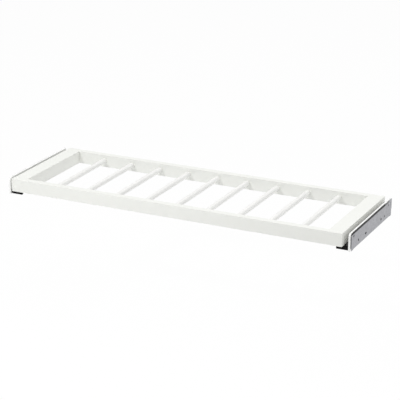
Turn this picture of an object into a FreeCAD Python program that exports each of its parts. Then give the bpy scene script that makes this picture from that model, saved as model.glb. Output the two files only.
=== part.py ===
# Pull-out trouser hanger for a wardrobe: a white frame with hanging rods,
# carried under its side rails by two ball-guided runners.
# X runs left to right, Y front to back, Z up. The origin is at the middle of the base.
import FreeCAD
import Part
import math
import os

from FreeCAD import Vector

# Frame
frame_width = 925.0
frame_depth = 300.0
frame_height = 34.0
rail_thickness = 17.0
side_rail_width = 39.0
rail_edge_radius = 0.5

# Hanging rods, with equal clear gaps between them and beside the side rails
rod_count = 9
rod_diameter = 14.0
rod_wall = 1.2
rod_axis_height = 17.5
rod_seat_depth = 9.0
rod_seat_clearance = 0.1
rod_end_gap = 0.3

# Corner dowels, two in each corner
dowel_diameter = 8.0
dowel_length = 30.0
dowel_in_rail = 12.0
dowel_axis_height = 20.0
dowel_edge = 9.0
dowel_spacing = 10.5
dowel_clearance = 0.05
dowel_end_gap = 0.5
dowel_chamfer = 1.0

# Cam fittings, one in each corner, turned from below
cam_diameter = 15.0
cam_height = 12.5
cam_margin = 2.0
cam_setback = 34.0
cam_clearance = 0.05
cam_slot_width = 1.4
cam_slot_length = 9.0
cam_slot_depth = 2.2
cam_bolt_axis_height = 7.5
cam_bolt_thread = 6.0
cam_bolt_in_rail = 10.5
cam_bolt_shank = 5.0
cam_bolt_head = 7.0
cam_bolt_head_length = 3.0
cam_bolt_hole = 8.0
cam_bolt_play = 0.3

# Runner: height of the frame above its base, room beside the frame, sheet steel
frame_lift = 14.0
runner_gap = 12.0
runner_depth = 6.0
sheet = 1.2
bend_radius = 0.8

# Mounting plate on the wardrobe's side
plate_height = 39.7
plate_front_gap = 3.8
plate_corner_radius = 5.0
plate_overhang = 2.0
ear_length = 21.0
ear_drop = 0.7
ear_radius = 2.0
ear_inner_radius = 1.5
step_length = 2.5
step_height = 17.0
heel_radius = 4.0

# Holes of the mounting plate on the wardrobe's 32 mm grid, and its locating holes, the front one a slot
screw_hole = 6.5
screw_grid = 32.0
first_screw = 33.0
upper_screw_drop = 5.7
lower_screw_height = 13.5
lower_screw_steps = (1, 6)
upper_back_margin = 11.0
locating_hole = 5.5
locating_slot = 10.0
locating_front = 116.0
locating_rear_gap = 53.5
locating_upper_gap = 26.5

# Cover over the inner side of the mounting plate
cover_front = 11.0
cover_rise = 6.0
cover_wall = 1.2
cover_front_wall = 3.2
cover_corner_radius = 9.0
cover_back_inset = 1.5
cover_back_radius = 1.5
cover_edge_radius = 0.7
cover_rib = 1.5
cover_rib_pitch = 48.0
cover_rib_start = 48.0
rim_air = 0.05

# Strip along the top of the plate, between the plate and the cover's rim
strip_recess = 0.3
strip_drop = 0.3
strip_lip = 1.2
strip_lip_thickness = 1.2
strip_air = 0.05
strip_edge_radius = 0.3
strip_front_gap = 8.0
strip_back_gap = 27.0
strip_rib_gap = 0.3

# Ball guide
ball_diameter = 4.5
balls_per_row = 4
ball_row_spacing = 13.8
ball_cage_play = 0.2
ball_end_margin = 5.0
race_clearance = 0.25
carrier_race_start = -60.0
carrier_race_end = 70.0
rail_race_half = 60.0
cage_sheet = 0.6
cage_skirt = 1.0
cage_length = 50.0
stop_clearance = 0.3

# Carrier under the side rail, and its front cap
carrier_side_gap = 1.5
carrier_reach = 20.6
carrier_back_inset = 16.0
cap_front = 16.4
cap_wall = 4.0
cap_spigot = 8.0
cap_side_gap = 0.4
cap_floor = 0.2
cap_corner_radius = 2.0
cap_spigot_drop = 2.0

# Guide rail on the plate's foot
guide_front_gap = 2.6
foot_margin = 3.0
rivet_count = 4
rivet_diameter = 4.0
rivet_head = 6.4
rivet_head_height = 1.2
rivet_end = 20.0
rivet_clearance = 0.02

# How far a cutter runs past what it cuts
cut_margin = 0.5

# Rear buffer
buffer_length = 5.7
buffer_top_gap = 0.8
buffer_side_gap = 0.5
buffer_radius = 1.0

# Carrier screws, driven up into the side rails
screw_count = 3
screw_shank = 4.0
screw_length = 14.0
screw_head = 7.0
screw_head_height = 2.2
screw_end = 45.0
screw_clearance = 0.05
screw_passage = 0.15
screw_cross = 1.1
screw_cross_depth = 1.1

# Values worked out from the sizes above
plate_back = frame_depth + plate_overhang
front_y = -plate_back / 2
half_width = frame_width / 2
frame_top = frame_lift + frame_height
opening_width = frame_width - 2 * side_rail_width
opening_depth = frame_depth - 2 * rail_thickness
rod_gap = (opening_width - rod_count * rod_diameter) / (rod_count + 1)
rod_pitch = rod_gap + rod_diameter
rod_z = frame_lift + rod_axis_height
cover_in = runner_gap
plate_out = runner_gap + runner_depth
plate_in = plate_out - sheet
rim_out = plate_in - rim_air
plate_front = cover_front + cover_front_wall + plate_front_gap
upper_screw_height = plate_height - upper_screw_drop
cover_height = plate_height + cover_rise
ear_start = plate_back - ear_length
heel_back = plate_back - step_length
cover_back = heel_back - cover_back_inset
strip_front = plate_front + strip_front_gap
strip_back = ear_start - strip_back_gap
bend_outer = bend_radius + sheet
race_in = ball_diameter / 2 + race_clearance
race_out = race_in + sheet
ball_z = frame_lift / 2
outer_row = runner_gap - carrier_side_gap - race_out
inner_row = outer_row - ball_row_spacing
carrier_front = cap_front + cap_wall
carrier_back = frame_depth - carrier_back_inset
carrier_floor = frame_lift - sheet
guide_front = carrier_front + cap_spigot + guide_front_gap
guide_back = carrier_back
guide_leg = race_in * math.cos(math.radians(rail_race_half))
guide_top = ball_z + race_out * math.sin(math.radians(rail_race_half))
foot_edge = inner_row + guide_leg - foot_margin
buffer_front = carrier_back + stop_clearance
foot_back = buffer_front + buffer_length
cage_roof = (guide_top + carrier_floor + cage_sheet) / 2
cage_out_front = guide_front + sheet + stop_clearance
cage_out_back = cage_out_front + cage_length
pull_travel = carrier_back - sheet - stop_clearance - cage_out_back
cage_front = cage_out_front + pull_travel / 2


def at(u, d, z):
    """Point at u outside the frame's right side, d behind the frame's front, z above the base."""
    return Vector(half_width + u, front_y + d, z)


def block(u0, u1, d0, d1, z0, z1):
    """Box between two values along each direction of a runner."""
    return Part.makeBox(u1 - u0, d1 - d0, z1 - z0, at(u0, d0, z0))


def rod_along(axis, diameter, length, start):
    """Cylinder of a diameter and a length from a start point along an axis."""
    return Part.makeCylinder(diameter / 2, length, start, axis)


def cross_hole(diameter, u0, u1, depth, height):
    """Round cutter along X, from a little before u0 to a little past u1."""
    return rod_along(Vector(1, 0, 0), diameter, u1 - u0 + 2 * cut_margin,
                     at(u0 - cut_margin, depth, height))


def outline(corners, place):
    """Face of a closed outline, whose corners (a, b, radius) are rounded with tangent arcs."""
    points = [Vector(a, b, 0) for a, b, _ in corners]
    stops = []
    for index, (_, _, radius) in enumerate(corners):
        corner = points[index]
        back = (points[index - 1] - corner).normalize()
        ahead = (points[(index + 1) % len(points)] - corner).normalize()
        if radius == 0:
            stops.append((corner, None, corner))
            continue
        half_angle = back.getAngle(ahead) / 2
        reach = radius / math.tan(half_angle)
        towards = (back + ahead).normalize()
        middle = corner + towards * (radius / math.sin(half_angle) - radius)
        stops.append((corner + back * reach, middle, corner + ahead * reach))
    edges = []
    for index, (start, middle, end) in enumerate(stops):
        if middle is not None:
            arc = [place(p.x, p.y) for p in (start, middle, end)]
            edges.append(Part.Arc(*arc).toShape())
        following = stops[(index + 1) % len(stops)][0]
        if (following - end).Length > 1e-6:
            edges.append(Part.makeLine(place(end.x, end.y), place(following.x, following.y)))
    return Part.Face(Part.Wire(edges))


def side_plate(corners, u0, u1):
    """Plate between two distances from the frame, with an outline of (depth, height, radius)."""
    face = outline(corners, lambda d, z: at(u0, d, z))
    return face.extrude(Vector(u1 - u0, 0, 0))


def section(corners, d0, d1):
    """Bar along Y with a cross section of (distance from the frame, height, radius)."""
    face = outline(corners, lambda u, z: at(u, d0, z))
    return face.extrude(Vector(0, d1 - d0, 0))


def race(row, start, end, d0, d1):
    """Ball race along Y: part of a tube round a row of balls, between two angles."""
    def spot(radius, angle):
        turn = math.radians(angle)
        return at(row + radius * math.cos(turn), d0, ball_z + radius * math.sin(turn))
    middle = (start + end) / 2
    inner = Part.Arc(spot(race_in, start), spot(race_in, middle), spot(race_in, end)).toShape()
    outer = Part.Arc(spot(race_out, end), spot(race_out, middle), spot(race_out, start)).toShape()
    tip = Part.makeLine(spot(race_in, end), spot(race_out, end))
    root = Part.makeLine(spot(race_out, start), spot(race_in, start))
    face = Part.Face(Part.Wire([inner, tip, outer, root]))
    return face.extrude(Vector(0, d1 - d0, 0))


def joined(shapes):
    """One solid from shapes that touch or overlap."""
    return shapes[0].fuse(shapes[1:]).removeSplitter()


def spread(count, first, last):
    """Evenly spaced values from first to last."""
    return [first + (last - first) * index / (count - 1) for index in range(count)]


def rounded_long_edges(bar, direction):
    """Bar whose edges along a direction are rounded as wrapped board is."""
    edges = []
    for edge in bar.Edges:
        run = edge.Vertexes[1].Point - edge.Vertexes[0].Point
        if run.normalize().cross(direction).Length < 1e-6:
            edges.append(edge)
    return bar.makeFillet(rail_edge_radius, edges)


def rod_x(index):
    """Place of a rod's axis across the frame."""
    return (index - (rod_count - 1) / 2) * rod_pitch


def corner_insets():
    """Distances of the corner dowels from the frame's outer side."""
    return [dowel_edge, dowel_edge + dowel_spacing]


def cam_inset():
    """Distance of a cam fitting from the frame's outer side."""
    return side_rail_width - cam_margin - cam_diameter / 2


def end_rail(joint_depth, outward):
    """Front or back rail; joint_depth is its inner face, outward points away from the opening."""
    near = min(joint_depth, joint_depth + outward.y * rail_thickness)
    bar = Part.makeBox(frame_width, rail_thickness, frame_height,
                       Vector(-half_width, front_y + near, frame_lift))
    bar = rounded_long_edges(bar, Vector(1, 0, 0))
    holes = []
    for index in range(rod_count):
        mouth = Vector(rod_x(index), front_y + joint_depth, rod_z)
        holes.append(rod_along(outward, rod_diameter + 2 * rod_seat_clearance, rod_seat_depth, mouth))
    for side in (-1, 1):
        for inset in corner_insets():
            mouth = Vector(side * (half_width - inset), front_y + joint_depth,
                           frame_lift + dowel_axis_height)
            holes.append(rod_along(outward, dowel_diameter + 2 * dowel_clearance,
                                   dowel_in_rail + dowel_end_gap, mouth))
        mouth = Vector(side * (half_width - cam_inset()), front_y + joint_depth,
                       frame_lift + cam_bolt_axis_height)
        holes.append(rod_along(outward, cam_bolt_thread + 2 * cam_clearance,
                               cam_bolt_in_rail + dowel_end_gap, mouth))
    return bar.cut(holes)


def side_rail():
    """Right side rail, between the front and back rails."""
    bar = block(-side_rail_width, 0, rail_thickness, frame_depth - rail_thickness, frame_lift, frame_top)
    bar = rounded_long_edges(bar, Vector(0, 1, 0))
    holes = []
    for joint_depth, inward in corner_joints():
        for inset in corner_insets():
            mouth = at(-inset, joint_depth, frame_lift + dowel_axis_height)
            depth = dowel_length - dowel_in_rail + dowel_end_gap
            holes.append(rod_along(inward, dowel_diameter + 2 * dowel_clearance, depth, mouth))
        mouth = at(-cam_inset(), joint_depth, frame_lift + cam_bolt_axis_height)
        holes.append(rod_along(inward, cam_bolt_hole, cam_setback, mouth))
        pocket = at(-cam_inset(), joint_depth + inward.y * cam_setback, frame_lift)
        holes.append(rod_along(Vector(0, 0, 1), cam_diameter + 2 * cam_clearance,
                               cam_height + cam_clearance, pocket))
    for depth in screw_depths():
        start = at(screw_line(), depth, frame_lift)
        holes.append(rod_along(Vector(0, 0, 1), screw_shank + 2 * screw_clearance, screw_length, start))
    return bar.cut(holes)


def corner_joints():
    """The two butt joints of a side rail: their depth, and the way into the side rail."""
    return [(rail_thickness, Vector(0, 1, 0)), (frame_depth - rail_thickness, Vector(0, -1, 0))]


def hanging_rod(index):
    """Tube whose ends stand in the blind holes of the front and back rails."""
    reach = rod_seat_depth - rod_end_gap
    start = Vector(rod_x(index), front_y + rail_thickness - reach, rod_z)
    length = opening_depth + 2 * reach
    tube = rod_along(Vector(0, 1, 0), rod_diameter, length, start)
    bore = rod_along(Vector(0, 1, 0), rod_diameter - 2 * rod_wall, length, start)
    return tube.cut(bore)


def corner_dowels():
    """Wooden dowels of the right side's two corners."""
    dowels = []
    for joint_depth, inward in corner_joints():
        for inset in corner_insets():
            start = at(-inset, joint_depth - inward.y * dowel_in_rail, frame_lift + dowel_axis_height)
            dowel = rod_along(inward, dowel_diameter, dowel_length, start)
            dowels.append(dowel.makeChamfer(dowel_chamfer, [e for e in dowel.Edges if e.Closed]))
    return dowels


def cam_bolts():
    """Cam bolts of the right side's two corners: thread, shank and head."""
    bolts = []
    for joint_depth, inward in corner_joints():
        axis_point = at(-cam_inset(), joint_depth, frame_lift + cam_bolt_axis_height)
        thread = rod_along(inward, cam_bolt_thread, cam_bolt_in_rail,
                           axis_point - inward * cam_bolt_in_rail)
        shank = rod_along(inward, cam_bolt_shank, cam_setback, axis_point)
        head = rod_along(inward, cam_bolt_head, cam_bolt_head_length,
                         axis_point + inward * (cam_setback - cam_bolt_head_length))
        bolts.append(joined([thread, shank, head]))
    return bolts


def cam_locks():
    """Round cams of the right side's two corners, slotted for the bolt's head and a driver."""
    up = Vector(0, 0, 1)
    cams = []
    for joint_depth, inward in corner_joints():
        centre = at(-cam_inset(), joint_depth + inward.y * cam_setback, frame_lift)
        cam = rod_along(up, cam_diameter, cam_height, centre)
        bolt_axis = centre + up * cam_bolt_axis_height
        shank_way = rod_along(inward * -1, cam_bolt_shank + 2 * cam_bolt_play, cam_diameter, bolt_axis)
        head_room = rod_along(inward * -1, cam_bolt_head + 2 * cam_bolt_play,
                              cam_bolt_head_length + 2 * cam_bolt_play,
                              bolt_axis + inward * cam_bolt_play)
        cross = [driver_slot(centre, cam_slot_length, cam_slot_width, cam_slot_depth, turned)
                 for turned in (False, True)]
        cams.append(cam.cut([shank_way, head_room] + cross))
    return cams


def driver_slot(centre, length, width, depth, turned):
    """Box of one arm of a driver's cross, cut up into a face that looks down."""
    across, along = (width, length) if turned else (length, width)
    corner = centre - Vector(across / 2, along / 2, 0)
    return Part.makeBox(across, along, depth, corner)


def upper_screws():
    """Depths of the upper wardrobe screws, on the grid, one near each end of the plate."""
    last_step = math.floor((plate_back - upper_back_margin - first_screw) / screw_grid)
    return [first_screw, first_screw + last_step * screw_grid]


def lower_screws():
    """Depths of the lower wardrobe screws, on the grid."""
    return [first_screw + step * screw_grid for step in lower_screw_steps]


def wardrobe_screws():
    """Depth and height of each wardrobe screw."""
    upper = [(depth, upper_screw_height) for depth in upper_screws()]
    return upper + [(depth, lower_screw_height) for depth in lower_screws()]


def locating_holes():
    """Depth and height of the plate's round locating holes."""
    return [(plate_back - locating_rear_gap, lower_screw_height),
            (plate_back - locating_upper_gap, upper_screw_height)]


def front_slot():
    """Cutter of the locating slot near the plate's front."""
    ends = [locating_front + side * (locating_slot - locating_hole) / 2 for side in (-1, 1)]
    rounds = [cross_hole(locating_hole, plate_in, plate_out, depth, lower_screw_height) for depth in ends]
    middle = block(plate_in - cut_margin, plate_out + cut_margin, *ends,
                   lower_screw_height - locating_hole / 2, lower_screw_height + locating_hole / 2)
    return joined(rounds + [middle])


def rivet_depths():
    """Depths of the rivets that hold the guide rail."""
    return spread(rivet_count, guide_front + rivet_end, guide_back - rivet_end)


def guide_middle():
    """Distance of the guide rail's middle from the frame's side."""
    return (outer_row + inner_row) / 2


def mounting_plate():
    """Right plate: an upright web with a rear ear, and a bent foot."""
    ear_top = cover_height - ear_drop
    web = side_plate([
        (plate_front, 0, 0),
        (plate_front, plate_height, plate_corner_radius),
        (ear_start, plate_height, ear_inner_radius),
        (ear_start, ear_top, 0),
        (plate_back, ear_top, ear_radius),
        (plate_back, step_height, ear_radius),
        (heel_back, step_height, ear_inner_radius),
        (heel_back, 0, heel_radius),
        (foot_back, 0, 0),
        (foot_back, bend_outer, 0),
        (guide_front, bend_outer, 0),
        (guide_front, 0, 0),
    ], plate_in, plate_out)
    foot = section([
        (plate_out, bend_outer, 0),
        (plate_out, 0, bend_outer),
        (foot_edge, 0, 0),
        (foot_edge, sheet, 0),
        (plate_in, sheet, bend_radius),
        (plate_in, bend_outer, 0),
    ], guide_front, foot_back)
    holes = [front_slot()]
    for depth, height in wardrobe_screws():
        holes.append(cross_hole(screw_hole, plate_in, plate_out, depth, height))
    for depth, height in locating_holes():
        holes.append(cross_hole(locating_hole, plate_in, plate_out, depth, height))
    for depth in rivet_depths():
        holes.append(Part.makeCone(rivet_head / 2 + rivet_clearance, rivet_diameter / 2 + rivet_clearance,
                                   sheet, at(guide_middle(), depth, 0)))
    return joined([web, foot]).cut(holes)


def cover():
    """Right cover: a shallow shell with a rim along its top and front, ribbed against the plate."""
    shell = side_plate([
        (cover_front, sheet, 0),
        (cover_front, cover_height, cover_corner_radius),
        (cover_back, cover_height, cover_back_radius),
        (cover_back, sheet, 0),
    ], cover_in, rim_out)
    inner_face = [edge for edge in shell.Edges
                  if all(abs(v.X - half_width - cover_in) < 1e-6 for v in edge.Vertexes)
                  and edge.BoundBox.ZMax > sheet + cover_wall]
    shell = shell.makeFillet(cover_edge_radius, inner_face)
    hollow = side_plate([
        (cover_front + cover_front_wall, 0, 0),
        (cover_front + cover_front_wall, cover_height - cover_wall, cover_corner_radius - cover_front_wall),
        (plate_back, cover_height - cover_wall, 0),
        (plate_back, 0, 0),
    ], cover_in + cover_wall, plate_out)
    ribs = []
    depth = cover_rib_start
    while depth < cover_back - cover_rib_start / 2:
        ribs.append(block(cover_in + cover_wall / 2, plate_in, depth, depth + cover_rib,
                          sheet + bend_radius, plate_height - strip_lip - strip_rib_gap))
        depth += cover_rib_pitch
    return joined([shell.cut(hollow)] + ribs)


def rim_strip():
    """Right strip: stands on the plate's top edge, with a lip behind it and a leaf beside the rim."""
    lip_in = plate_in - strip_lip_thickness
    outer = plate_out - strip_recess
    under_rim = cover_height - cover_wall - strip_air
    return section([
        (lip_in, plate_height - strip_lip, strip_edge_radius),
        (plate_in, plate_height - strip_lip, 0),
        (plate_in, plate_height, 0),
        (outer, plate_height, 0),
        (outer, cover_height - strip_drop, strip_edge_radius),
        (plate_in, cover_height - strip_drop, strip_edge_radius),
        (plate_in, under_rim, 0),
        (lip_in, under_rim, 0),
    ], strip_front, strip_back)


def guide_rail():
    """Right guide rail: an open channel whose sides are ball races, with a front stop for the cage."""
    span = (guide_front, guide_back)
    outer_foot = outer_row - guide_leg
    inner_foot = inner_row + guide_leg
    leg_top = ball_z - race_in * math.sin(math.radians(rail_race_half))
    floor = block(inner_foot, outer_foot, *span, sheet, 2 * sheet)
    outer_leg = block(outer_foot - sheet, outer_foot, *span, sheet, leg_top)
    inner_leg = block(inner_foot, inner_foot + sheet, *span, sheet, leg_top)
    outer_race = race(outer_row, 180 - rail_race_half, 180 + rail_race_half, *span)
    inner_race = race(inner_row, -rail_race_half, rail_race_half, *span)
    stop = block(inner_foot, outer_foot, guide_front, guide_front + sheet, sheet, cage_roof)
    body = joined([floor, outer_leg, inner_leg, outer_race, inner_race, stop])
    holes = [rod_along(Vector(0, 0, 1), rivet_diameter + 2 * rivet_clearance, 2 * sheet,
                       at(guide_middle(), depth, sheet / 2)) for depth in rivet_depths()]
    return body.cut(holes)


def rail_rivets():
    """Rivets of the right guide rail, flush under the plate's foot."""
    up = Vector(0, 0, 1)
    rivets = []
    for depth in rivet_depths():
        base = at(guide_middle(), depth, 0)
        sunk_head = Part.makeCone(rivet_head / 2, rivet_diameter / 2, sheet, base)
        shank = rod_along(up, rivet_diameter, sheet, base + up * sheet)
        head = rod_along(up, rivet_head, rivet_head_height, base + up * (2 * sheet))
        rivets.append(joined([sunk_head, shank, head]))
    return rivets


def rear_buffer():
    """Right buffer on the plate's foot, which the closed carrier meets."""
    inner = foot_edge + buffer_side_gap
    outer = runner_gap - carrier_side_gap
    top = frame_lift - buffer_top_gap
    return section([
        (inner, sheet, 0),
        (outer, sheet, 0),
        (outer, top, buffer_radius),
        (inner, top, buffer_radius),
    ], buffer_front, foot_back)


def ball_depths():
    """Depths of the balls of one row, with the hanger pushed in."""
    return spread(balls_per_row, cage_front + ball_end_margin, cage_front + cage_length - ball_end_margin)


def ball_cage():
    """Right ball cage: a strip over the guide rail, with a pierced skirt on each row of balls."""
    span = (cage_front, cage_front + cage_length)
    skirt_foot = ball_z - ball_diameter / 2 - cage_skirt
    outer = outer_row + cage_sheet / 2
    inner = inner_row - cage_sheet / 2
    strip = section([
        (inner, skirt_foot, 0),
        (inner + cage_sheet, skirt_foot, 0),
        (inner + cage_sheet, cage_roof - cage_sheet, 0),
        (outer - cage_sheet, cage_roof - cage_sheet, 0),
        (outer - cage_sheet, skirt_foot, 0),
        (outer, skirt_foot, 0),
        (outer, cage_roof, cage_sheet),
        (inner, cage_roof, cage_sheet),
    ], *span)
    windows = [cross_hole(ball_diameter + 2 * ball_cage_play, inner, outer, depth, ball_z)
               for depth in ball_depths()]
    return strip.cut(windows)


def balls():
    """Steel balls of the right runner, in two rows."""
    return [Part.makeSphere(ball_diameter / 2, at(row, depth, ball_z))
            for row in (outer_row, inner_row) for depth in ball_depths()]


def screw_line():
    """Distance of the carrier screws from the frame's side, in the middle of the carrier's wing."""
    return (inner_row - race_out - carrier_reach) / 2


def screw_depths():
    """Depths of the carrier screws."""
    return spread(screw_count, carrier_front + screw_end, carrier_back - screw_end)


def carrier():
    """Right carrier: a flat top under the side rail, two rolled ball races and a rear stop tab."""
    span = (carrier_front, carrier_back)
    edge = race_in * math.cos(math.radians(carrier_race_end))
    shoulder = ball_z + race_in * math.sin(math.radians(carrier_race_end))
    top = block(-carrier_reach, outer_row + edge + sheet, *span, carrier_floor, frame_lift)
    outer_leg = block(outer_row + edge, outer_row + edge + sheet, *span, shoulder, frame_lift)
    inner_leg = block(inner_row - edge - sheet, inner_row - edge, *span, shoulder, frame_lift)
    outer_race = race(outer_row, carrier_race_start, carrier_race_end, *span)
    inner_race = race(inner_row, 180 - carrier_race_end, 180 - carrier_race_start, *span)
    tab = block(inner_row + guide_leg, outer_row - guide_leg, carrier_back - sheet, carrier_back,
                (guide_top + cage_roof - cage_sheet) / 2, carrier_floor)
    body = joined([top, outer_leg, inner_leg, outer_race, inner_race, tab])
    holes = [rod_along(Vector(0, 0, 1), screw_shank + 2 * screw_passage, sheet,
                       at(screw_line(), depth, carrier_floor)) for depth in screw_depths()]
    return body.cut(holes)


def carrier_cap():
    """Right front cap: closes the carrier's end and plugs into it."""
    outer = runner_gap - cap_side_gap
    front = section([
        (-carrier_reach, sheet + cap_floor, cap_corner_radius),
        (outer, sheet + cap_floor, cap_corner_radius),
        (outer, frame_lift, 0),
        (-carrier_reach, frame_lift, 0),
    ], cap_front, carrier_front)
    spigot = block(inner_row, outer_row, carrier_front, carrier_front + cap_spigot,
                   ball_z - cap_spigot_drop, carrier_floor)
    return joined([front, spigot])


def carrier_screws():
    """Pan-head screws of the right carrier."""
    up = Vector(0, 0, 1)
    screws = []
    for depth in screw_depths():
        seat = at(screw_line(), depth, carrier_floor)
        low = seat - up * screw_head_height
        head = rod_along(up, screw_head, screw_head_height, low)
        rim = [edge for edge in head.Edges if edge.BoundBox.ZMax < seat.z - screw_head_height / 2]
        head = head.makeFillet(screw_head_height / 2, rim)
        shank = rod_along(up, screw_shank, screw_length, seat)
        cross = [driver_slot(low, screw_head / 2, screw_cross, screw_cross_depth, turned)
                 for turned in (False, True)]
        screws.append(joined([head, shank]).cut(cross))
    return screws


def mirrored(shape):
    """The same piece on the left."""
    return shape.mirror(Vector(0, 0, 0), Vector(1, 0, 0))


def both_sides(solids):
    """Group of the right side's solids and the same on the left."""
    return Part.makeCompound(solids + [mirrored(solid) for solid in solids])


def build():
    """Every node of the hanger by name."""
    nodes = {
        "front_rail": end_rail(rail_thickness, Vector(0, -1, 0)),
        "back_rail": end_rail(frame_depth - rail_thickness, Vector(0, 1, 0)),
        "corner_dowels": both_sides(corner_dowels()),
        "cam_bolts": both_sides(cam_bolts()),
        "cam_locks": both_sides(cam_locks()),
    }
    for index in range(rod_count):
        nodes[f"hanging_rod_{index + 1}"] = hanging_rod(index)
    paired = {
        "side_rail": side_rail(),
        "mounting_plate": mounting_plate(),
        "cover": cover(),
        "rim_strip": rim_strip(),
        "guide_rail": guide_rail(),
        "rail_rivets": Part.makeCompound(rail_rivets()),
        "rear_buffer": rear_buffer(),
        "ball_cage": ball_cage(),
        "balls": Part.makeCompound(balls()),
        "carrier": carrier(),
        "carrier_cap": carrier_cap(),
        "carrier_screws": Part.makeCompound(carrier_screws()),
    }
    for name, shape in paired.items():
        nodes[f"right_{name}"] = shape
        nodes[f"left_{name}"] = mirrored(shape)
    return nodes


os.makedirs("parts", exist_ok=True)
for node, shape in build().items():
    shape.exportStep(f"parts/{node}.step")
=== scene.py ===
"""Looks of a pull-out trouser hanger and its two ball-guided runners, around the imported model.

Sizes are in metres, except where a comment gives another unit.
"""
import logging
import math
from abc import ABC, abstractmethod
from dataclasses import dataclass
from enum import Enum
from functools import cache

import bmesh
import bpy
from mathutils import Matrix, Vector


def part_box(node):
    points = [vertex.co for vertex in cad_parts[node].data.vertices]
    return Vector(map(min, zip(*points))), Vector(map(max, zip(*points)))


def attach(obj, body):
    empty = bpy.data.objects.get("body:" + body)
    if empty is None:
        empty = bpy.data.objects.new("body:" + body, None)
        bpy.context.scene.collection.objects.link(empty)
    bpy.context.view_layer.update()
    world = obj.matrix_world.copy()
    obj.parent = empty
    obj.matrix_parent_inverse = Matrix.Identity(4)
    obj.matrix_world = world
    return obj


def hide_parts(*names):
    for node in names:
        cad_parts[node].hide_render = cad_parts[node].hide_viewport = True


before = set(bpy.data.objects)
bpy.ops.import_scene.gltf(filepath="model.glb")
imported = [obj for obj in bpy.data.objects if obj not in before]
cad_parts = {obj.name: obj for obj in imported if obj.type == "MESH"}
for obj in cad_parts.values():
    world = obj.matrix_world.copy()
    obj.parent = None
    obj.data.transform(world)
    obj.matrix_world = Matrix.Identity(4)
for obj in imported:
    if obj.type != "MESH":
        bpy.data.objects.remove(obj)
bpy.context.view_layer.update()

LOG = logging.getLogger("trouser_hanger")

Colour = tuple[float, float, float]
Triple = tuple[float, float, float]
Profile = list[tuple[float, float]]
Socket = bpy.types.NodeSocket
Geometry = list[bmesh.types.BMVert | bmesh.types.BMEdge | bmesh.types.BMFace]

EVEN: Triple = (1.0, 1.0, 1.0)
UP: Triple = (0.0, 0.0, 1.0)
WHITE: Colour = (1.0, 1.0, 1.0)
OPAQUE = 1.0
NEAR = 1e-6  # points closer than this are one point
SHARP_ANGLE = math.radians(38.0)


class Body(Enum):
    """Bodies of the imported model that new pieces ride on."""

    RUNNERS = "runners"
    HANGER = "hanger"


class Side(Enum):
    """The two sides of the hanger."""

    LEFT = "left"
    RIGHT = "right"

    def named(self, part: str) -> str:
        """Name of a part on this side."""
        return f"{self.value}_{part}"


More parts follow.
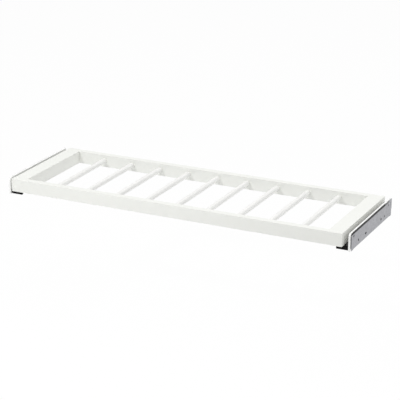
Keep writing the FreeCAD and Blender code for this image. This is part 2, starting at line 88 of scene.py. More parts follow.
class Graph:
    """Node tree of one material, with the calls that the finishes share."""

    def __init__(self, name: str) -> None:
        """Starts a material with a principled surface.

        Args:
            name: Name of the material.
        """
        self.material = bpy.data.materials.new(name)
        self.material.use_nodes = True
        self.tree = self.material.node_tree
        self.tree.nodes.clear()
        self.surface = self.tree.nodes.new("ShaderNodeBsdfPrincipled")
        output = self.tree.nodes.new("ShaderNodeOutputMaterial")
        self.tree.links.new(self.surface.outputs["BSDF"], output.inputs["Surface"])
        self.place = self.tree.nodes.new("ShaderNodeTexCoord").outputs["Object"]

    def set(self, socket: str, value: float) -> None:
        """Sets a value of the surface that is the same all over."""
        self.surface.inputs[socket].default_value = value

    def drive(self, socket: str, source: Socket) -> None:
        """Links a pattern to a value of the surface."""
        self.tree.links.new(source, self.surface.inputs[socket])

    def stretched(self, stretch: Triple) -> Socket:
        """Object coordinates, with each direction multiplied.

        Args:
            stretch: How many times finer the pattern is along X, Y and Z.

        Returns:
            The socket of the coordinates.
        """
        if stretch == EVEN:
            return self.place
        mapping = self.tree.nodes.new("ShaderNodeMapping")
        mapping.inputs["Scale"].default_value = stretch
        self.tree.links.new(self.place, mapping.inputs["Vector"])
        return mapping.outputs["Vector"]

    def noise(self, scale: float = 1.0, detail: float = 2.0, stretch: Triple = EVEN) -> Socket:
        """Cloudy pattern.

        Args:
            scale: Clouds to the metre, before the stretch.
            detail: How many finer layers are added.
            stretch: How many times finer it is along X, Y and Z.

        Returns:
            The socket of the pattern, from 0 to 1.
        """
        node = self.tree.nodes.new("ShaderNodeTexNoise")
        node.inputs["Scale"].default_value = scale
        node.inputs["Detail"].default_value = detail
        self.tree.links.new(self.stretched(stretch), node.inputs["Vector"])
        return node.outputs["Fac"]

    def crystals(self, scale: float, blur: float) -> tuple[Socket, Socket]:
        """Pattern of crystals, each with two values of its own.

        Args:
            scale: Crystals to the metre.
            blur: How far crystals run into each other, from 0 to 1.

        Returns:
            The sockets of the two values, from 0 to 1.
        """
        node = self.tree.nodes.new("ShaderNodeTexVoronoi")
        node.feature = "SMOOTH_F1"
        node.inputs["Smoothness"].default_value = blur
        node.inputs["Scale"].default_value = scale
        self.tree.links.new(self.place, node.inputs["Vector"])
        split = self.tree.nodes.new("ShaderNodeSeparateColor")
        self.tree.links.new(node.outputs["Color"], split.inputs["Color"])
        return split.outputs["Red"], split.outputs["Green"]

    def overlay(self, pattern: Socket, grain: Socket, share: float) -> Socket:
        """Lays one pattern over another.

        Args:
            pattern: Socket of the pattern below.
            grain: Socket of the pattern on top.
            share: How much the one on top counts, from 0 to 1.

        Returns:
            The socket of both together.
        """
        node = self.tree.nodes.new("ShaderNodeMix")
        node.inputs["Factor"].default_value = share
        self.tree.links.new(pattern, node.inputs["A"])
        self.tree.links.new(grain, node.inputs["B"])
        return node.outputs["Result"]

    def tint(self, pattern: Socket, low: Colour, high: Colour,
             spread: tuple[float, float] = (0.3, 0.7)) -> Socket:
        """Colour that follows a pattern.

        Args:
            pattern: Socket of a pattern from 0 to 1.
            low: Colour where the pattern is low.
            high: Colour where the pattern is high.
            spread: Values of the pattern that get the low and the high colour.

        Returns:
            The socket of the colour.
        """
        ramp = self.tree.nodes.new("ShaderNodeValToRGB")
        for stop, position, colour in zip(ramp.color_ramp.elements, spread, (low, high)):
            stop.position = position
            stop.color = (*colour, OPAQUE)
        self.tree.links.new(pattern, ramp.inputs["Fac"])
        return ramp.outputs["Color"]

    def between(self, pattern: Socket, low: float, high: float) -> Socket:
        """Value that follows a pattern.

        Args:
            pattern: Socket of a pattern from 0 to 1.
            low: Value where the pattern is 0.
            high: Value where the pattern is 1.

        Returns:
            The socket of the value.
        """
        node = self.tree.nodes.new("ShaderNodeMapRange")
        node.inputs["To Min"].default_value = low
        node.inputs["To Max"].default_value = high
        self.tree.links.new(pattern, node.inputs["Value"])
        return node.outputs["Result"]

    def relief(self, pattern: Socket, depth: float) -> None:
        """Gives the surface a fine relief.

        Args:
            pattern: Socket of a pattern from 0 to 1.
            depth: Depth of the relief.
        """
        bump = self.tree.nodes.new("ShaderNodeBump")
        bump.inputs["Distance"].default_value = depth
        self.tree.links.new(pattern, bump.inputs["Height"])
        self.drive("Normal", bump.outputs["Normal"])


@dataclass(frozen=True)
class Finish(ABC):
    """Surface finish of a material slot of the record.

    Attributes:
        slot: Name of the slot.
        colour: Main colour.
        roughness: Mean roughness.
    """

    slot: str
    colour: Colour
    roughness: float

    @cache
    def material(self) -> bpy.types.Material:
        """The finish's material, made at its first use.

        Returns:
            The same material at every use.
        """
        graph = Graph(f"{self.slot}_finish")
        self.paint(graph)
        return graph.material

    def shade(self, share: float) -> Colour:
        """The finish's colour at a share of its brightness."""
        return tuple(share * channel for channel in self.colour)

    def vary_gloss(self, graph: Graph, pattern: Socket, swing: float) -> None:
        """Lets the roughness swing about its mean with a pattern."""
        graph.drive("Roughness", graph.between(pattern, self.roughness - swing, self.roughness + swing))

    @abstractmethod
    def paint(self, graph: Graph) -> None:
        """Sets the finish's patterns on a material."""


@dataclass(frozen=True)
class Coating(Finish):
    """Foil, lacquer or moulded plastic: an even colour with a fine skin.

    Attributes:
        skin_scale: Grains of the skin to the metre.
        skin_depth: Depth of the skin's relief.
        skin_detail: Finer layers in the skin.
        cloud_scale: Faint clouds to the metre.
        cloud: How much a cloud darkens the colour.
        gloss_swing: How far the roughness swings.
        specular: Strength of the plain reflection.
    """

    skin_scale: float
    skin_depth: float
    skin_detail: float = 3.0
    cloud_scale: float = 9.0
    cloud: float = 0.015
    gloss_swing: float = 0.05
    specular: float = 0.5

    def paint(self, graph: Graph) -> None:
        """Sets a faint cloudiness, an uneven gloss and the skin's relief.

        Args:
            graph: Nodes of the finish's material.
        """
        clouds = graph.noise(self.cloud_scale)
        skin = graph.noise(self.skin_scale, self.skin_detail)
        graph.set("Specular IOR Level", self.specular)
        graph.drive("Base Color", graph.tint(clouds, self.shade(1 - self.cloud), self.colour))
        self.vary_gloss(graph, clouds, self.gloss_swing)
        graph.relief(skin, self.skin_depth)


@dataclass(frozen=True)
class Metal(Finish):
    """Bare or plated metal."""

    def paint(self, graph: Graph) -> None:
        """Makes the surface metallic."""
        graph.set("Metallic", 1.0)


@dataclass(frozen=True)
class Zinc(Metal):
    """Zinc surface with crystals, each reflecting a little differently.

    Attributes:
        crystal_scale: Crystals to the metre.
        contrast: How far a crystal's brightness departs from the mean.
        gloss_swing: How far the roughness swings.
        grain_depth: Depth of the fine grain.
        grain_detail: Finer layers in the grain.
        grain_share: How much the grain counts in the brightness.
        grain_fineness: How many times finer the grain is than the crystals.
        blur: How far crystals run into each other.
        spread: Values of the pattern that are darkest and brightest.
    """

    crystal_scale: float
    contrast: float
    gloss_swing: float
    grain_depth: float
    grain_detail: float = 4.0
    grain_share: float = 0.35
    grain_fineness: float = 4.0
    blur: float = 0.3
    spread: tuple[float, float] = (0.15, 0.85)

    def paint(self, graph: Graph) -> None:
        """Sets crystals of differing brightness and gloss, and a fine grain.

        Args:
            graph: Nodes of the finish's material.
        """
        super().paint(graph)
        brightness, gloss = graph.crystals(self.crystal_scale, self.blur)
        grain = graph.noise(self.grain_fineness * self.crystal_scale, self.grain_detail)
        grained = graph.overlay(brightness, grain, self.grain_share)
        dark, bright = self.shade(1 - self.contrast), self.shade(1 + self.contrast)
        graph.drive("Base Color", graph.tint(grained, dark, bright, self.spread))
        self.vary_gloss(graph, gloss, self.gloss_swing)
        graph.relief(grain, self.grain_depth)


@dataclass(frozen=True)
class Steel(Metal):
    """Plain or plated steel with fine lines along its drawn or rolled direction.

    Attributes:
        stretch: Lines to the metre along X, Y and Z.
        line_depth: Depth of the lines.
        line_detail: Finer layers in the lines.
        gloss_swing: How far the roughness swings.
        stain: How much a stain darkens the colour.
        stain_scale: Stains to the metre.
        stain_detail: Finer layers in the stains.
    """

    stretch: Triple
    line_depth: float
    line_detail: float = 4.0
    gloss_swing: float = 0.06
    stain: float = 0.06
    stain_scale: float = 45.0
    stain_detail: float = 3.0

    def paint(self, graph: Graph) -> None:
        """Sets faint stains, drawn lines and an uneven gloss.

        Args:
            graph: Nodes of the finish's material.
        """
        super().paint(graph)
        lines = graph.noise(detail=self.line_detail, stretch=self.stretch)
        stains = graph.noise(self.stain_scale, self.stain_detail)
        graph.drive("Base Color", graph.tint(stains, self.shade(1 - self.stain), self.colour))
        self.vary_gloss(graph, lines, self.gloss_swing)
        graph.relief(lines, self.line_depth)


@dataclass(frozen=True)
class Beech(Finish):
    """Turned beech with darker grain and short flecks along Y.

    Attributes:
        grain: How much the grain darkens the colour.
        grain_stretch: Lines of grain to the metre along X, Y and Z.
        grain_detail: Finer layers in the grain.
        fleck_stretch: Flecks to the metre along X, Y and Z.
        fleck_depth: Depth of the flecks.
    """

    grain: float
    grain_stretch: Triple = (420.0, 14.0, 420.0)
    grain_detail: float = 4.0
    fleck_stretch: Triple = (1500.0, 220.0, 1500.0)
    fleck_depth: float = 3e-5

    def paint(self, graph: Graph) -> None:
        """Sets grain and flecks.

        Args:
            graph: Nodes of the finish's material.
        """
        grain = graph.noise(detail=self.grain_detail, stretch=self.grain_stretch)
        flecks = graph.noise(stretch=self.fleck_stretch)
        graph.set("Roughness", self.roughness)
        graph.drive("Base Color", graph.tint(grain, self.shade(1 - self.grain), self.colour))
        graph.relief(flecks, self.fleck_depth)


FOIL = Coating("white_board", (0.872, 0.880, 0.842), 0.42, skin_scale=1600.0, skin_depth=8e-6)
LACQUER = Coating("white_lacquered_steel", (0.880, 0.882, 0.862), 0.36, skin_scale=700.0, skin_depth=2e-5)
WHITE_PLASTIC = Coating("white_plastic", (0.945, 0.946, 0.934), 0.38, skin_scale=2400.0, skin_depth=8e-6)
# Painted shade: the rim strips are black where there is only a shadowed gap under the cover's rim, and
# their specular sets how dark that shadow looks.
GROOVE_SHADOW_BLACK = Coating(
    "black_plastic", (0.006, 0.006, 0.0065), 0.60, skin_scale=2200.0, skin_depth=1.5e-5, specular=0.36)
# Painted shade: the same black plastic again, with a weaker specular than plastic has, so that the carrier
# caps look as dark as in the shade under the frame.
BLACK_PLASTIC_DIMMED_AS_SHADE = Coating(
    "black_plastic", (0.004, 0.004, 0.0045), 0.65, skin_scale=2200.0, skin_depth=1.5e-5, specular=0.12)
GREY_PLASTIC = Coating("grey_plastic", (0.22, 0.22, 0.225), 0.55, skin_scale=1800.0, skin_depth=1.5e-5)
BLACK_STEEL = Coating("black_steel", (0.020, 0.020, 0.022), 0.40, skin_scale=900.0, skin_depth=1e-5)
GALVANISED = Zinc(
    "galvanised_steel", (0.390, 0.393, 0.413), 0.48,
    crystal_scale=230.0, contrast=0.11, gloss_swing=0.07, grain_depth=6e-6)
DIE_CAST = Zinc(
    "die_cast_zinc", (0.52, 0.52, 0.53), 0.42,
    crystal_scale=900.0, contrast=0.06, gloss_swing=0.08, grain_depth=2e-5)
PLATED_STEEL = Steel(
    "zinc_plated_steel", (0.47, 0.48, 0.50), 0.42, stretch=(900.0, 30.0, 900.0), line_depth=4e-6)
BALL_STEEL = Steel(
    "bearing_steel", (0.66, 0.66, 0.67), 0.10,
    stretch=(300.0, 300.0, 300.0), line_depth=5e-7, gloss_swing=0.03, stain=0.02)
CAGE_STEEL = Steel("cage_steel", (0.46, 0.46, 0.47), 0.38, stretch=(900.0, 20.0, 900.0), line_depth=5e-6)
BEECH = Beech("beech_wood", (0.62, 0.41, 0.24), 0.62, grain=0.32)


def dress(node: str, finish: Finish) -> None:
    """Gives a CAD node its finish."""
    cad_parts[node].data.materials[0] = finish.material()
    LOG.info("%s: %s", node, finish.slot)


def verts_of(geometry: Geometry) -> list[bmesh.types.BMVert]:
    """Vertices among an operator's results."""
    return [item for item in geometry if isinstance(item, bmesh.types.BMVert)]


def edges_of(geometry: Geometry) -> list[bmesh.types.BMEdge]:
    """Edges among an operator's results."""
    return [item for item in geometry if isinstance(item, bmesh.types.BMEdge)]


@dataclass(frozen=True)
class Thread:
    """Screw thread wound round a core.

    Attributes:
        core: Radius of the core.
        crest: Radius of the ridge's crest.
        pitch: Rise in one turn.
        start: Height at which the crest starts.
        end: Height at which the crest ends.
        ridge_share: Share of the pitch that the ridge is wide at its foot.
        foot_share: Share of the ridge's height that its foot lies inside the core.
        steps: Faces in one turn.
    """

    core: float
    crest: float
    pitch: float
    start: float
    end: float
    ridge_share: float = 0.7
    foot_share: float = 0.25
    steps: int = 18


@dataclass(frozen=True)
class Cross:
    """Driver's cross in a screw's head.

    Attributes:
        arm: Length of an arm from the middle.
        width: Width of an arm.
        depth: How far the bottom is moved along Z, negative where it is below the rim.
        taper: Size of the bottom as a share of the rim's.
    """

    arm: float
    width: float
    depth: float
    taper: float = 0.55


class Fitting:
    """Mesh of a small fitting, made upright at the origin and then set at each of its places."""

    def __init__(self) -> None:
        """Starts with an empty mesh."""
        self.shape = bmesh.new()

    def turn(self, profile: Profile, steps: int = 32) -> None:
        """Turns a profile round Z.

        Args:
            profile: Radius and height of each of its points.
            steps: Faces round the axis.
        """
        points = [self.shape.verts.new((radius, 0.0, height)) for radius, height in profile]
        edges = [self.shape.edges.new(pair) for pair in zip(points, points[1:])]
        bmesh.ops.spin(self.shape, geom=points + edges, axis=UP, angle=math.tau, steps=steps,
                       use_merge=True)
        bmesh.ops.remove_doubles(self.shape, verts=self.shape.verts, dist=NEAR)

    def ring(self, radius: float, height: float) -> list[bmesh.types.BMEdge]:
        """Finds a ring of a turned shape.

        Args:
            radius: Radius of the ring.
            height: Height of the ring.

        Returns:
            The ring's edges.
        """
        return [edge for edge in self.shape.edges
                if all(abs(vert.co.z - height) < NEAR and abs(vert.co.xy.length - radius) < NEAR
                       for vert in edge.verts)]

    def soften(self, radius: float, height: float, offset: float, segments: int = 4) -> None:
        """Rounds the ring at a radius and a height.

        Args:
            radius: Radius of the ring.
            height: Height of the ring.
            offset: How far the rounding reaches from the ring.
            segments: Faces across the rounding.
        """
        bmesh.ops.bevel(self.shape, geom=self.ring(radius, height), offset=offset, offset_type="OFFSET",
                        segments=segments, profile=0.5, affect="EDGES", material=-1)

    def wind(self, thread: Thread) -> None:
        """Winds a thread's ridge round Z.

        Args:
            thread: The thread.
        """
        turns = (thread.end - thread.start) / thread.pitch
        half = thread.pitch * thread.ridge_share / 2
        foot = thread.core - (thread.crest - thread.core) * thread.foot_share
        places = ((foot, thread.start - half), (thread.crest, thread.start), (foot, thread.start + half))
        points = [self.shape.verts.new((radius, 0.0, height)) for radius, height in places]
        edges = [self.shape.edges.new(pair) for pair in zip(points, points[1:] + points[:1])]
        rise = (0.0, 0.0, thread.pitch / thread.steps)
        wound = bmesh.ops.spin(self.shape, geom=points + edges, axis=UP, angle=turns * math.tau, dvec=rise,
                               steps=round(turns * thread.steps))
        for end in (edges, edges_of(wound["geom_last"])):
            bmesh.ops.contextual_create(self.shape, geom=end)

    def lay_cross(self, cross: Cross, height: float) -> list[bmesh.types.BMFace]:
        """Lays a flat cross at a height.

        Args:
            cross: The driver's cross.
            height: Its height.

        Returns:
            The cross's faces.
        """
        cells = 3  # the arms are the middle row and the middle column of a grid
        grid = bmesh.ops.create_grid(self.shape, x_segments=cells, y_segments=cells, size=cross.arm)
        for vert in grid["verts"]:
            for axis in (0, 1):
                if abs(vert.co[axis]) < cross.arm / 2:
                    vert.co[axis] = math.copysign(cross.width / 2, vert.co[axis])
            vert.co.z = height
        faces = dict.fromkeys(face for vert in grid["verts"] for face in vert.link_faces)
        corners = [face for face in faces if min(map(abs, face.calc_center_median().xy)) > cross.width / 2]
        arms = [face for face in faces if face not in corners]
        bmesh.ops.delete(self.shape, geom=corners, context="FACES")
        return arms

    def sink(self, cross: Cross, radius: float, height: float) -> None:
        """Closes an open ring with a face that has a cross sunk into it.

        Args:
            cross: The driver's cross.
            radius: Radius of the open ring.
            height: Height of the open ring.
        """
        rim = self.ring(radius, height)
        arms = self.lay_cross(cross, height)
        outline = dict.fromkeys(edge for face in arms for edge in face.edges if edge.is_boundary)
        bmesh.ops.bridge_loops(self.shape, edges=rim + list(outline))
        sunk = bmesh.ops.extrude_face_region(self.shape, geom=arms)["geom"]
        bmesh.ops.delete(self.shape, geom=arms, context="FACES")
        bottom = verts_of(sunk)
        bmesh.ops.translate(self.shape, verts=bottom, vec=(0.0, 0.0, cross.depth))
        bmesh.ops.scale(self.shape, verts=bottom, vec=(cross.taper, cross.taper, 1.0))

    def flute(self, radius: float, length: float, chamfer: float, flutes: int, groove: float) -> None:
        """Makes a chamfered peg along Z with straight grooves.

        Args:
            radius: Radius of the peg.
            length: Length of the peg.
            chamfer: Width of the chamfer at each end.
            flutes: How many grooves it has.
            groove: Depth of a groove.
        """
        points_per_flute = 4
        narrow = (radius - chamfer) / radius
        circle = bmesh.ops.create_circle(
            self.shape, radius=radius * narrow, segments=points_per_flute * flutes)
        grooves = circle["verts"][::points_per_flute]
        bmesh.ops.scale(self.shape, verts=grooves, vec=(1 - groove / radius,) * 3)
        rim = self.shape.edges[:]
        for rise, widen in ((chamfer, 1 / narrow), (length - 2 * chamfer, 1.0), (chamfer, narrow)):
            drawn = bmesh.ops.extrude_edge_only(self.shape, edges=rim)["geom"]
            rim = edges_of(drawn)
            bmesh.ops.translate(self.shape, verts=verts_of(drawn), vec=(0.0, 0.0, rise))
            bmesh.ops.scale(self.shape, verts=verts_of(drawn), vec=(widen, widen, 1.0))
        bmesh.ops.holes_fill(self.shape, edges=self.shape.edges)

    def stand(self, spots: list[Matrix]) -> None:
        """Sets a copy at each of the fitting's places, in place of the first one.

        Args:
            spots: A matrix for each place.
        """
        first = self.shape.verts[:] + self.shape.edges[:] + self.shape.faces[:]
        for spot in spots:
            copy = bmesh.ops.duplicate(self.shape, geom=first)["geom"]
            bmesh.ops.transform(self.shape, matrix=spot, verts=verts_of(copy))
        bmesh.ops.delete(self.shape, geom=verts_of(first), context="VERTS")

    def piece(self, name: str, finish: Finish, body: Body, node: str) -> None:
        """Makes the piece that stands for a CAD node of fittings.

        Args:
            name: Name of the piece.
            finish: Its finish.
            body: The body that it rides on.
            node: The CAD node that it replaces.
        """
        bmesh.ops.recalc_face_normals(self.shape, faces=self.shape.faces)
        mesh = bpy.data.meshes.new(name)
        self.shape.to_mesh(mesh)
        self.shape.free()
        mesh.shade_smooth()
        mesh.set_sharp_from_angle(angle=SHARP_ANGLE)
        mesh.materials.append(finish.material())
        made = bpy.data.objects.new(name, mesh)
        bpy.context.scene.collection.objects.link(made)
        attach(made, body.value)
        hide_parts(node)
        LOG.info("%s: %s", name, finish.slot)


def row(node: str, count: int, radius: float, height: float) -> list[Matrix]:
    """Places of upright fittings in a row along Y, read from their CAD node.

    Args:
        node: Name of the node.
        count: How many fittings it has.
        radius: The fittings' largest radius.
        height: How far a fitting's origin is above the node's lowest point.

    Returns:
        A matrix for each fitting.
    """
    low, high = (Vector(corner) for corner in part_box(node))
    first, last = low.y + radius, high.y - radius
    x, z = (low.x + high.x) / 2, low.z + height
    steps = [index / (count - 1) for index in range(count)]
    return [Matrix.Translation((x, first + step * (last - first), z)) for step in steps]


def corner_spots(node: str, insets: list[float]) -> list[Matrix]:
    """Places of fittings that lie along Y in the frame's corners, read from their CAD node.

    Args:
        node: Name of the node.
        insets: Distances of the fittings' axes from the node's outer side.

    Returns:
        A matrix for each fitting, which points from an end of the frame to its middle.
    """
    low, high = (Vector(corner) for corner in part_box(node))
    z = (low.z + high.z) / 2
    spots = []
    for y, angle in ((low.y, -90.0), (high.y, 90.0)):
        lie = Matrix.Rotation(math.radians(angle), 4, "X")
        for inset in insets:
            spots += [Matrix.Translation((x, y, z)) @ lie for x in (low.x + inset, high.x - inset)]
    return spots


@dataclass
class BoardFrame:
    """White frame of four rails, with the hanging rods between front and back."""

    rods: int = 9

    def build(self) -> None:
        """Dresses the rails and the rods."""
        for rail in ("front_rail", "back_rail", *(side.named("side_rail") for side in Side)):
            dress(rail, FOIL)
        for index in range(self.rods):
            dress(f"hanging_rod_{index + 1}", LACQUER)


@dataclass
class CornerJoints:
    """Dowels, cam bolts and cams in the frame's corners."""

    dowel_radius: float = 0.004
    dowel_length: float = 0.030
    dowel_chamfer: float = 0.001
    dowel_spacing: float = 0.0105  # between the axes of a corner's two dowels
    flutes: int = 16
    flute_depth: float = 0.00025
    bolt_length: float = 0.0445
    bolt_lead: float = 0.0009  # chamfer at the threaded end
    bolt_joint: float = 0.0105  # from the threaded end to where the collar ends
    bolt_collar: float = 0.0007
    bolt_shank_radius: float = 0.0025
    bolt_neck_radius: float = 0.0018
    bolt_neck_length: float = 0.0022
    bolt_head_radius: float = 0.0035
    bolt_head_length: float = 0.003
    bolt_face_radius: float = 0.0021  # of the face round the cross
    bolt_rounding: float = 0.0006
    bolt_thread: Thread = Thread(core=0.0023, crest=0.0030, pitch=0.0016, start=0.0012, end=0.0090)
    bolt_cross: Cross = Cross(arm=0.0018, width=0.0009, depth=-0.0015)

    def build(self) -> None:
        """Builds the dowels and the bolts, and dresses the cams."""
        self.build_dowels()
        self.build_bolts()
        dress("cam_locks", DIE_CAST)

    def build_dowels(self) -> None:
        """Builds the fluted dowels, two in each corner."""
        dowel = Fitting()
        dowel.flute(self.dowel_radius, self.dowel_length, self.dowel_chamfer, self.flutes, self.flute_depth)
        insets = [self.dowel_radius, self.dowel_radius + self.dowel_spacing]
        dowel.stand(corner_spots("corner_dowels", insets))
        dowel.piece("fluted_dowels", BEECH, Body.HANGER, "corner_dowels")

    def build_bolts(self) -> None:
        """Builds the cam bolts, one in each corner: thread, collar, shank, neck and head."""
        thread = self.bolt_thread
        collar = self.bolt_joint - self.bolt_collar
        head = self.bolt_length - self.bolt_head_length
        neck = head - self.bolt_neck_length
        bolt = Fitting()
        bolt.turn([
            (0.0, 0.0),
            (thread.core - self.bolt_lead, 0.0),
            (thread.core, self.bolt_lead),
            (thread.core, collar),
            (thread.crest, collar),
            (thread.crest, self.bolt_joint),
            (self.bolt_shank_radius, self.bolt_joint),
            (self.bolt_shank_radius, neck - (self.bolt_shank_radius - self.bolt_neck_radius)),
            (self.bolt_neck_radius, neck),
            (self.bolt_neck_radius, head),
            (self.bolt_head_radius, head),
            (self.bolt_head_radius, self.bolt_length),
            (self.bolt_face_radius, self.bolt_length),
        ])
        bolt.soften(self.bolt_head_radius, head, self.bolt_rounding)
        bolt.soften(self.bolt_head_radius, self.bolt_length, self.bolt_rounding)
        bolt.wind(thread)
        bolt.sink(self.bolt_cross, self.bolt_face_radius, self.bolt_length)
        bolt.stand(corner_spots("cam_bolts", [self.bolt_head_radius]))
        bolt.piece("threaded_cam_bolts", PLATED_STEEL, Body.HANGER, "cam_bolts")


@dataclass
class Runner:
    """Runner of one side: what stays on the wardrobe's wall, and the balls that roll along it."""

    side: Side
    rivets: int = 4
    rivet_shank_radius: float = 0.002
    rivet_head_radius: float = 0.0032
    rivet_top: float = 0.0036  # from the foot's underside
    rivet_dome: float = 0.0009
    sheet: float = 0.0012  # of the plate's foot, and of the guide rail on it
    dimple_radius: float = 0.0009
    dimple_depth: float = 0.0003

    def build(self) -> None:
        """Dresses what stays on the wall, the balls and their cage, and builds the rivets."""
        finishes = {
            "mounting_plate": GALVANISED,
            "cover": WHITE_PLASTIC,
            # painted shade: the black rim strip stands where the gap under the cover's rim is only in
            # shadow
            "rim_strip": GROOVE_SHADOW_BLACK,
            "guide_rail": PLATED_STEEL,
            "rear_buffer": GREY_PLASTIC,
            "ball_cage": CAGE_STEEL,
            "balls": BALL_STEEL,
        }
        for part, finish in finishes.items():
            dress(self.side.named(part), finish)
        self.build_rivets()

    def build_rivets(self) -> None:
        """Builds the rivets, flush below the foot and domed above the guide rail."""
        rivet = Fitting()
        rivet.turn([
            (0.0, 0.0),
            (self.rivet_head_radius, 0.0),
            (self.rivet_shank_radius, self.sheet),
            (self.rivet_shank_radius, 2 * self.sheet),
            (self.rivet_head_radius, 2 * self.sheet),
            (self.rivet_head_radius, self.rivet_top),
            (self.dimple_radius, self.rivet_top),
            (self.dimple_radius - self.dimple_depth, self.rivet_top - self.dimple_depth),
            (0.0, self.rivet_top - self.dimple_depth),
        ])
        rivet.soften(self.rivet_head_radius, self.rivet_top, self.rivet_dome)
        node = self.side.named("rail_rivets")
        rivet.stand(row(node, self.rivets, self.rivet_head_radius, 0.0))
        rivet.piece(self.side.named("domed_rivets"), PLATED_STEEL, Body.RUNNERS, node)


@dataclass
class Carrier:
    """Carrier of one side: what slides out with the frame."""

    side: Side
    screws: int = 3
    screw_head_radius: float = 0.0035
    screw_head_height: float = 0.0022
    screw_rounding: float = 0.0011
    screw_face_radius: float = 0.0021  # of the face round the cross
    screw_length: float = 0.014  # without the head
    screw_tip: float = 0.0026
    screw_thread: Thread = Thread(core=0.00145, crest=0.0020, pitch=0.0014, start=0.0012, end=0.0110)
    screw_cross: Cross = Cross(arm=0.00175, width=0.0009, depth=0.0012)

    def build(self) -> None:
        """Dresses the carrier and its cap, and builds its screws."""
        dress(self.side.named("carrier"), BLACK_STEEL)
        # painted shade: the cap reflects less than plastic does, to look as dark as the shade under the
        # frame
        dress(self.side.named("carrier_cap"), BLACK_PLASTIC_DIMMED_AS_SHADE)
        self.build_screws()

    def build_screws(self) -> None:
        """Builds the threaded screws, whose heads look down."""
        core = self.screw_thread.core
        face = -self.screw_head_height
        screw = Fitting()
        screw.turn([
            (self.screw_face_radius, face),
            (self.screw_head_radius, face),
            (self.screw_head_radius, 0.0),
            (core, 0.0),
            (core, self.screw_length - self.screw_tip),
            (0.0, self.screw_length),
        ])
        screw.soften(self.screw_head_radius, face, self.screw_rounding)
        screw.wind(self.screw_thread)
        screw.sink(self.screw_cross, self.screw_face_radius, face)
        node = self.side.named("carrier_screws")
        screw.stand(row(node, self.screws, self.screw_head_radius, self.screw_head_height))
        screw.piece(self.side.named("threaded_screws"), PLATED_STEEL, Body.HANGER, node)


@dataclass(frozen=True)
class Lamp:
    """Soft square lamp that looks at the hanger."""

    name: str
    place: Triple
    size: float
    power: float  # watts

    def build(self) -> None:
        """Adds the lamp."""
        data = bpy.data.lights.new(self.name, "AREA")
        data.shape = "SQUARE"
        data.size = self.size
        data.energy = self.power
        lamp = bpy.data.objects.new(self.name, data)
        lamp.location = self.place
        lamp.rotation_euler = (-Vector(self.place)).to_track_quat("-Z", "Y").to_euler()
        lamp.visible_camera = False
        bpy.context.scene.collection.objects.link(lamp)


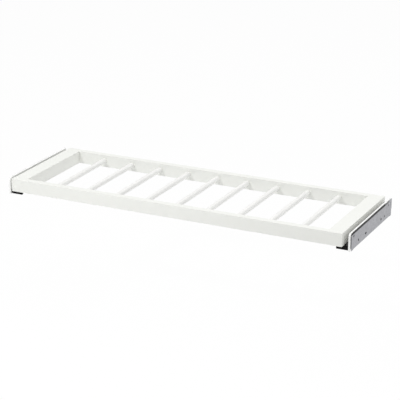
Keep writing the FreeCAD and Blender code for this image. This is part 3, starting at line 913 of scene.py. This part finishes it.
@dataclass
class Studio:
    """Pale floor, soft light and the camera."""

    floor_size: float = 120.0
    floor_drop: float = 0.30  # below the hanger's origin
    floor_colour: Colour = (0.90, 0.90, 0.90)
    floor_white: float = 0.96  # share of the floor's white that no shadow dims
    sky: float = 0.40  # strength of its light
    lamps: tuple[Lamp, ...] = (
        Lamp("overhead_lamp", (-0.3, -0.2, 2.8), size=3.0, power=39.8),
        Lamp("key_lamp", (-1.6, -2.8, 2.4), size=0.35, power=39.8),
        Lamp("right_lamp", (2.8, 0.0, 1.4), size=1.8, power=19.4),
        Lamp("back_lamp", (0.0, 2.6, 2.0), size=2.0, power=6.0),
        Lamp("low_lamp", (-0.4, -0.9, -0.1), size=0.36, power=0.64),
    )
    aim: Triple = (0.0327, -0.0404, 0.0310)
    distance: float = 3.976
    azimuth: float = 26.09  # degrees
    elevation: float = 19.52  # degrees
    lens: float = 140.2  # millimetres
    sensor: float = 36.0  # millimetres

    def build(self) -> None:
        """Adds the floor, the sky, the lamps and the camera."""
        self.add_floor()
        self.add_sky()
        for lamp in self.lamps:
            lamp.build()
        self.add_camera()

    @staticmethod
    def seen(tree: bpy.types.NodeTree) -> Socket:
        """Tells what is seen from what only lights the hanger.

        Args:
            tree: Node tree of the floor's material or of the sky.

        Returns:
            A socket that is 1 for what the camera, a reflection or glass sees, and 0 otherwise.
        """
        path = tree.nodes.new("ShaderNodeLightPath")
        total = path.outputs["Is Camera Ray"]
        for ray in ("Is Glossy Ray", "Is Transmission Ray"):
            larger = tree.nodes.new("ShaderNodeMath")
            larger.operation = "MAXIMUM"
            tree.links.new(total, larger.inputs[0])
            tree.links.new(path.outputs[ray], larger.inputs[1])
            total = larger.outputs["Value"]
        return total

    def floor_material(self) -> bpy.types.Material:
        """Makes the floor's finish, which looks white where no shadow falls.

        Returns:
            The material.
        """
        dimmed = 1 - self.floor_white
        material = bpy.data.materials.new("pale_floor")
        material.use_nodes = True
        tree = material.node_tree
        tree.nodes.clear()
        matt = tree.nodes.new("ShaderNodeBsdfDiffuse")
        matt.inputs["Color"].default_value = (*self.floor_colour, OPAQUE)
        faint = tree.nodes.new("ShaderNodeBsdfDiffuse")
        faint.inputs["Color"].default_value = (dimmed, dimmed, dimmed, OPAQUE)
        glow = tree.nodes.new("ShaderNodeEmission")
        glow.inputs["Strength"].default_value = self.floor_white
        white = tree.nodes.new("ShaderNodeAddShader")
        tree.links.new(faint.outputs["BSDF"], white.inputs[0])
        tree.links.new(glow.outputs["Emission"], white.inputs[1])
        mix = tree.nodes.new("ShaderNodeMixShader")
        tree.links.new(self.seen(tree), mix.inputs["Fac"])
        tree.links.new(matt.outputs["BSDF"], mix.inputs[1])
        tree.links.new(white.outputs["Shader"], mix.inputs[2])
        output = tree.nodes.new("ShaderNodeOutputMaterial")
        tree.links.new(mix.outputs["Shader"], output.inputs["Surface"])
        return material

    def add_floor(self) -> None:
        """Adds the floor."""
        shape = bmesh.new()
        bmesh.ops.create_grid(shape, x_segments=1, y_segments=1, size=self.floor_size / 2)
        bmesh.ops.translate(shape, verts=shape.verts, vec=(0.0, 0.0, -self.floor_drop))
        mesh = bpy.data.meshes.new("floor")
        shape.to_mesh(mesh)
        shape.free()
        mesh.materials.append(self.floor_material())
        floor = bpy.data.objects.new("floor", mesh)
        bpy.context.scene.collection.objects.link(floor)

    def add_sky(self) -> None:
        """Adds an even sky, which looks white and lights the hanger softly."""
        world = bpy.data.worlds.new("sky")
        world.use_nodes = True
        tree = world.node_tree
        light = tree.nodes["Background"]
        light.inputs["Color"].default_value = (*WHITE, OPAQUE)
        light.inputs["Strength"].default_value = self.sky
        white = tree.nodes.new("ShaderNodeBackground")
        white.inputs["Color"].default_value = (*WHITE, OPAQUE)
        mix = tree.nodes.new("ShaderNodeMixShader")
        tree.links.new(self.seen(tree), mix.inputs["Fac"])
        tree.links.new(light.outputs["Background"], mix.inputs[1])
        tree.links.new(white.outputs["Background"], mix.inputs[2])
        tree.links.new(mix.outputs["Shader"], tree.nodes["World Output"].inputs["Surface"])
        bpy.context.scene.world = world

    def add_camera(self) -> None:
        """Adds the camera at the photograph's angle."""
        data = bpy.data.cameras.new("camera")
        data.lens = self.lens
        data.sensor_width = self.sensor
        camera = bpy.data.objects.new("camera", data)
        turn = math.radians(self.azimuth)
        rise = math.radians(self.elevation)
        back = Vector((math.sin(turn) * math.cos(rise), -math.cos(turn) * math.cos(rise), math.sin(rise)))
        camera.location = Vector(self.aim) + self.distance * back
        camera.rotation_euler = (math.pi / 2 - rise, 0.0, turn)
        bpy.context.scene.collection.objects.link(camera)
        bpy.context.scene.camera = camera


def main() -> None:
    """Builds the hanger's looks and the studio around it."""
    logging.basicConfig(level=logging.INFO, format="%(message)s")
    BoardFrame().build()
    CornerJoints().build()
    for side in Side:
        Runner(side).build()
        Carrier(side).build()
    Studio().build()
    bpy.context.scene.view_settings.view_transform = "Standard"


if __name__ == "__main__":
    main()
